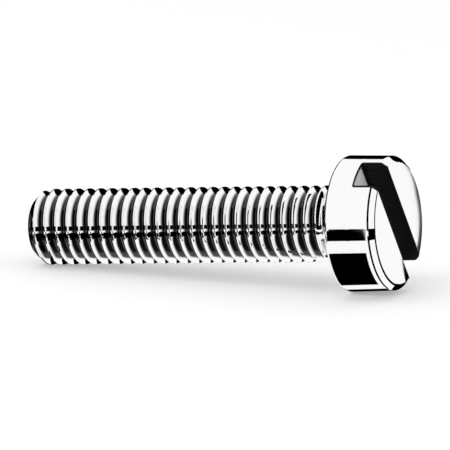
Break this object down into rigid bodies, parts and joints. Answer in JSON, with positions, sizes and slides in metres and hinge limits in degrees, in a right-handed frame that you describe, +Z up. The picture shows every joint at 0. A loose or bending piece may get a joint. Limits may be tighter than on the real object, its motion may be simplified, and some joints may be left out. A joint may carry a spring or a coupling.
{
  "type": "slotted cheese head machine screw",
  "caption": "Slotted cheese-head machine screw in bright plated steel, right-hand metric thread up to a short neck, lying on its side as it comes to rest.",
  "frame": {"origin": "on the floor plane, under the middle of the lying screw's bounding box", "axes": "+X level towards the head, +Z up; the screw's own axis lies in the XZ plane and rises 5.15 degrees towards the head, because the rim of the head and the first full turn of the thread touch the floor"},
  "size_m": [0.0258, 0.0088, 0.009],
  "materials": {
    "plated_steel": "bright zinc or nickel plate over turned steel"
  },
  "bodies": {
    "root": {"screw": "plated_steel"}
  },
  "joints": []
}
